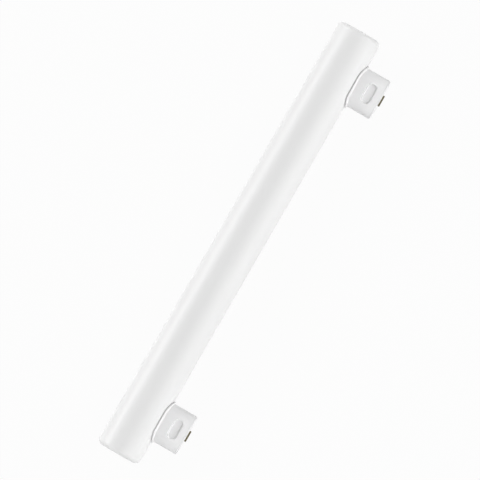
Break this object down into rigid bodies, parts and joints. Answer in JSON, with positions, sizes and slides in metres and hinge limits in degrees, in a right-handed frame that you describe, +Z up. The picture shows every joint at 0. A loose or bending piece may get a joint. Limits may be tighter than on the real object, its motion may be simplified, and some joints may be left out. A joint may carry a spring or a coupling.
{
  "type": "tubular light bulb",
  "caption": "Opal tubular lamp with two side pegs, each with a brass contact and two latch recesses, that plug into a pair of lamp holders.",
  "frame": {"origin": "on the ground under the middle of the lamp as it lies at rest", "axes": "+X along the tube from the left peg to the right one, +Z up, and the pegs pointing along -Y, 14.60 degrees below level"},
  "size_m": [0.3, 0.0466, 0.029],
  "materials": {
    "opal_glass": "satin",
    "base_moulding": "satin",
    "contact_brass": "satin"
  },
  "bodies": {
    "root": {"opal_tube": "opal_glass", "left_base": "base_moulding", "right_base": "base_moulding", "left_contact": "contact_brass", "right_contact": "contact_brass"}
  },
  "joints": []
}
